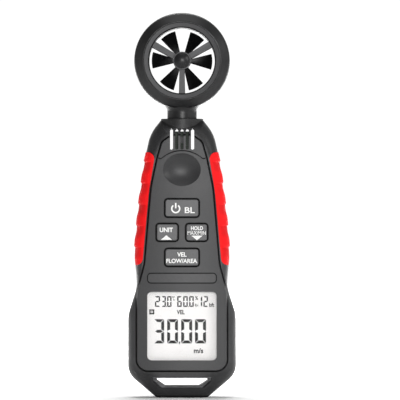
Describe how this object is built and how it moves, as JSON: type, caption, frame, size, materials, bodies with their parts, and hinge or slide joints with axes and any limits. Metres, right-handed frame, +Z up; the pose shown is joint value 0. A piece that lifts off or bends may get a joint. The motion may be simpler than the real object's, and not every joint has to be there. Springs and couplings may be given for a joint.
{
  "type": "vane anemometer",
  "caption": "Handheld vane anemometer: a tapered case with display, keys and side grips, a swivelling ring with a free-spinning bladed rotor, and a lift-off battery cover.",
  "frame": {"origin": "centre of the flat foot's underside, midway between the key tops and the back face", "axes": "+Z up the instrument towards the vane ring, -Y out of the display, +X to the viewer's right"},
  "size_m": [0.0542, 0.0292, 0.1923],
  "materials": {
    "case_plastic": "fine spark texture, dark grey",
    "panel_plastic": "fine spark texture, mid grey",
    "key_plastic": "fine spark texture, light grey",
    "grip_rubber": "soft matte red",
    "ring_plastic": "satin dark grey",
    "spider_plastic": "satin grey",
    "blade_plastic": "satin black",
    "clear_lens": "clear, polished",
    "plate_metal": "brushed, dark",
    "lcd_glass": "pale reflective display",
    "diffuser": "milky white",
    "frame_plastic": "white",
    "zebra": "black and clear striped elastomer",
    "circuit_board": "green solder mask",
    "dark_board": "dark green solder mask",
    "chip_body": "moulded black",
    "metal_can": "plated",
    "silicone": "grey silicone",
    "carbon": "black conductive rubber",
    "cell_jacket": "printed cell jacket",
    "spring_steel": "nickel plated",
    "steel": "zinc plated",
    "bronze": "sintered bronze",
    "magnet": "dark grey ferrite",
    "wire_jacket": "black",
    "flex_tape": "amber polyimide",
    "washer_plastic": "slippery white"
  },
  "bodies": {
    "case": {"front_shell": "case_plastic", "back_shell": "case_plastic", "front_panel": "panel_plastic", "left_grip": "grip_rubber", "right_grip": "grip_rubber", "display_lens": "clear_lens", "name_plate": "plate_metal", "lcd_glass": "lcd_glass", "lcd_backlight": "diffuser", "lcd_frame": "frame_plastic", "zebra_strip": "zebra", "main_board": "circuit_board", "board_chips": "chip_body", "piezo_buzzer": "metal_can", "keypad_mat": "silicone", "sensor_board": "dark_board", "humidity_sensor": "chip_body", "sensor_header": "metal_can", "batteries": "cell_jacket", "battery_springs": "spring_steel", "battery_contacts": "spring_steel", "case_screws": "steel", "case_lead": "wire_jacket", "swivel_washer": "washer_plastic", "power_key_dome": "silicone", "unit_key_dome": "silicone", "hold_key_dome": "silicone", "mode_key_dome": "silicone"},
    "vane_head": {"head_front_housing": "ring_plastic", "head_rear_housing": "ring_plastic", "front_spider": "spider_plastic", "rear_spider": "spider_plastic", "front_hub_cap": "ring_plastic", "rear_hub_cap": "ring_plastic", "front_bearing": "bronze", "rear_bearing": "bronze", "hall_sensor": "chip_body", "hall_flex": "flex_tape", "head_lead": "wire_jacket", "head_screws": "steel"},
    "rotor": {"impeller": "blade_plastic", "vane_axle": "steel", "impeller_magnet": "magnet"},
    "cover": {"battery_cover": "case_plastic", "battery_cover_screw": "steel"},
    "power_key_body": {"power_key": "key_plastic", "power_key_pill": "carbon"},
    "unit_key_body": {"unit_key": "key_plastic", "unit_key_pill": "carbon"},
    "hold_key_body": {"hold_key": "key_plastic", "hold_key_pill": "carbon"},
    "mode_key_body": {"mode_key": "key_plastic", "mode_key_pill": "carbon"}
  },
  "joints": [
    {"name": "head_swivel", "type": "hinge", "parent": "case", "child": "vane_head", "pos_m": [0, 0, 0.137], "axis": [0, 0, 1], "range_deg": [-90, 90]},
    {"name": "impeller_spin", "type": "hinge", "parent": "vane_head", "child": "rotor", "pos_m": [0, 0, 0.1684], "axis": [0, 1, 0], "continuous": true},
    {"name": "power_key_press", "type": "slide", "parent": "case", "child": "power_key_body", "axis": [0, 1, 0], "range_m": [0, 0.0008], "stiffness_N_per_m": 1500, "deforming": ["power_key_dome"]},
    {"name": "unit_key_press", "type": "slide", "parent": "case", "child": "unit_key_body", "axis": [0, 1, 0], "range_m": [0, 0.0008], "stiffness_N_per_m": 1500, "deforming": ["unit_key_dome"]},
    {"name": "hold_key_press", "type": "slide", "parent": "case", "child": "hold_key_body", "axis": [0, 1, 0], "range_m": [0, 0.0008], "stiffness_N_per_m": 1500, "deforming": ["hold_key_dome"]},
    {"name": "mode_key_press", "type": "slide", "parent": "case", "child": "mode_key_body", "axis": [0, 1, 0], "range_m": [0, 0.0008], "stiffness_N_per_m": 1500, "deforming": ["mode_key_dome"]},
    {"name": "battery_cover_lift", "type": "slide", "parent": "case", "child": "cover", "axis": [0, 1, 0], "range_m": [0, 0.03]}
  ]
}
